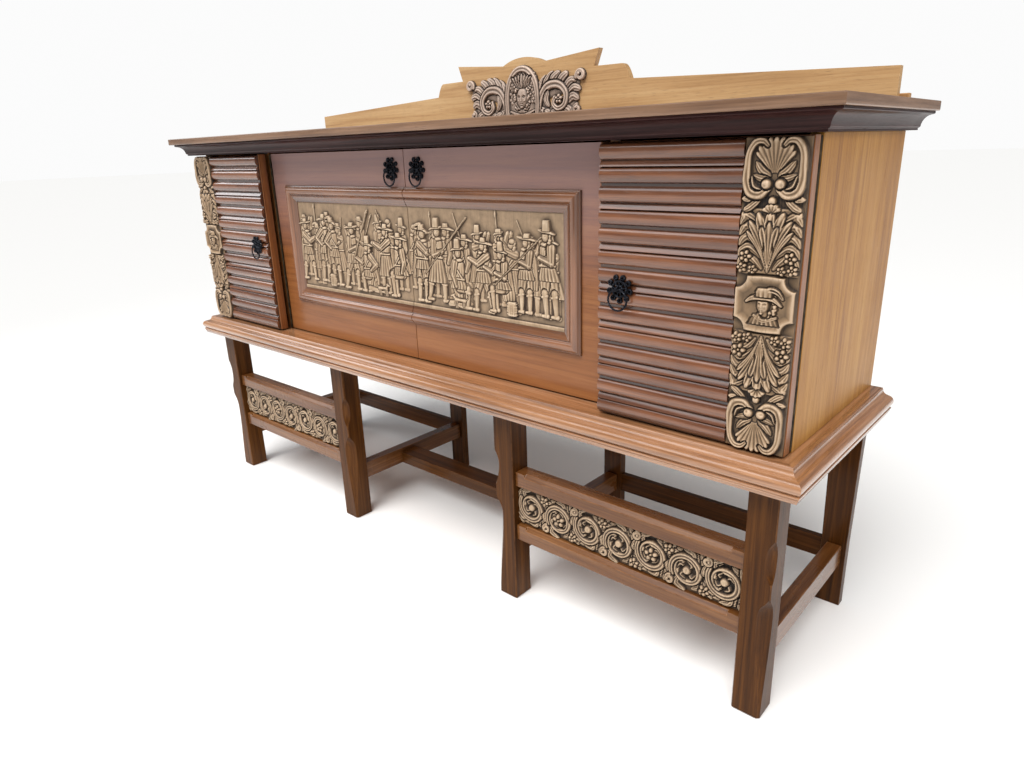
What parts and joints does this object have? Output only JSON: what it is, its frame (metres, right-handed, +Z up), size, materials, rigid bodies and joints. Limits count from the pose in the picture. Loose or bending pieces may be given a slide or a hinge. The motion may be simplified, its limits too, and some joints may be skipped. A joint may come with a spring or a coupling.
{
  "type": "sideboard buffet",
  "caption": "Long carved wooden sideboard with hinged side and centre doors, ring pulls, a low gallery board and a stand of tall legs joined by rails and stretchers.",
  "frame": {"origin": "middle of the footprint, on the floor", "axes": "+X to the viewer's right along the front, +Y from the front towards the back, +Z up"},
  "size_m": [2.1, 0.588, 1.33],
  "materials": {
    "leg_oak": "satin lacquered brown oak",
    "red_oak": "satin lacquered red-brown oak",
    "dark_oak": "satin lacquered dark red-brown oak",
    "honey_oak": "satin lacquered honey oak",
    "carved_oak": "matt carved oak with dark stain in the hollows",
    "inner_wood": "matt lacquered wood",
    "black_iron": "satin black",
    "brass": "aged"
  },
  "bodies": {
    "case": {"leg_front_left_outer": "leg_oak", "leg_back_left_outer": "leg_oak", "leg_front_left_inner": "leg_oak", "leg_back_left_inner": "leg_oak", "leg_front_right_outer": "leg_oak", "leg_back_right_outer": "leg_oak", "leg_front_right_inner": "leg_oak", "leg_back_right_inner": "leg_oak", "rail_front_left_upper": "leg_oak", "rail_front_left_lower": "leg_oak", "frieze_left": "carved_oak", "rail_back_left": "leg_oak", "stretcher_left_outer": "leg_oak", "stretcher_left_inner": "leg_oak", "rail_front_right_upper": "leg_oak", "rail_front_right_lower": "leg_oak", "frieze_right": "carved_oak", "rail_back_right": "leg_oak", "stretcher_right_outer": "leg_oak", "stretcher_right_inner": "leg_oak", "stretcher_long": "leg_oak", "platform": "red_oak", "side_panel_left": "honey_oak", "partition_left": "inner_wood", "shelf_left": "inner_wood", "side_panel_right": "honey_oak", "partition_right": "inner_wood", "shelf_right": "inner_wood", "shelf_centre": "inner_wood", "back_panel": "inner_wood", "cornice": "red_oak", "case_top": "inner_wood", "top_board": "red_oak", "gallery_board": "honey_oak", "gallery_batten": "inner_wood", "crest_carving": "carved_oak", "hinge_left": "brass", "hinge_centre_left": "brass", "hinge_right": "brass", "hinge_centre_right": "brass"},
    "door_left": {"door_left_slab": "red_oak", "door_left_ribs": "dark_oak", "door_left_pilaster": "carved_oak", "pull_left_rosette": "black_iron"},
    "ring_left": {"pull_left_ring": "black_iron"},
    "door_centre_left": {"door_centre_left_slab": "red_oak", "door_centre_left_frame": "red_oak", "door_centre_left_relief": "carved_oak", "pull_centre_left_rosette": "black_iron"},
    "ring_centre_left": {"pull_centre_left_ring": "black_iron"},
    "door_right": {"door_right_slab": "red_oak", "door_right_ribs": "dark_oak", "door_right_pilaster": "carved_oak", "pull_right_rosette": "black_iron"},
    "ring_right": {"pull_right_ring": "black_iron"},
    "door_centre_right": {"door_centre_right_slab": "red_oak", "door_centre_right_frame": "red_oak", "door_centre_right_relief": "carved_oak", "pull_centre_right_rosette": "black_iron"},
    "ring_centre_right": {"pull_centre_right_ring": "black_iron"}
  },
  "joints": [
    {"name": "door_left_hinge", "type": "hinge", "parent": "case", "child": "door_left", "pos_m": [-0.992, -0.20975, 0.833], "axis": [0, 0, -1], "range_deg": [0, 110]},
    {"name": "door_centre_left_hinge", "type": "hinge", "parent": "case", "child": "door_centre_left", "pos_m": [-0.602, -0.2015, 0.833], "axis": [0, 0, -1], "range_deg": [0, 90]},
    {"name": "ring_left_swing", "type": "hinge", "parent": "door_left", "child": "ring_left", "pos_m": [-0.661, -0.2575, 0.831], "axis": [-1, 0, 0], "range_deg": [0, 95]},
    {"name": "ring_centre_left_swing", "type": "hinge", "parent": "door_centre_left", "child": "ring_centre_left", "pos_m": [-0.0485, -0.2075, 1.0515], "axis": [-1, 0, 0], "range_deg": [0, 95]},
    {"name": "door_right_hinge", "type": "hinge", "parent": "case", "child": "door_right", "pos_m": [0.992, -0.20975, 0.833], "axis": [0, 0, 1], "range_deg": [0, 110]},
    {"name": "door_centre_right_hinge", "type": "hinge", "parent": "case", "child": "door_centre_right", "pos_m": [0.602, -0.2015, 0.833], "axis": [0, 0, 1], "range_deg": [0, 90]},
    {"name": "ring_right_swing", "type": "hinge", "parent": "door_right", "child": "ring_right", "pos_m": [0.661, -0.2575, 0.831], "axis": [-1, 0, 0], "range_deg": [0, 95]},
    {"name": "ring_centre_right_swing", "type": "hinge", "parent": "door_centre_right", "child": "ring_centre_right", "pos_m": [0.0485, -0.2075, 1.0515], "axis": [-1, 0, 0], "range_deg": [0, 95]}
  ]
}
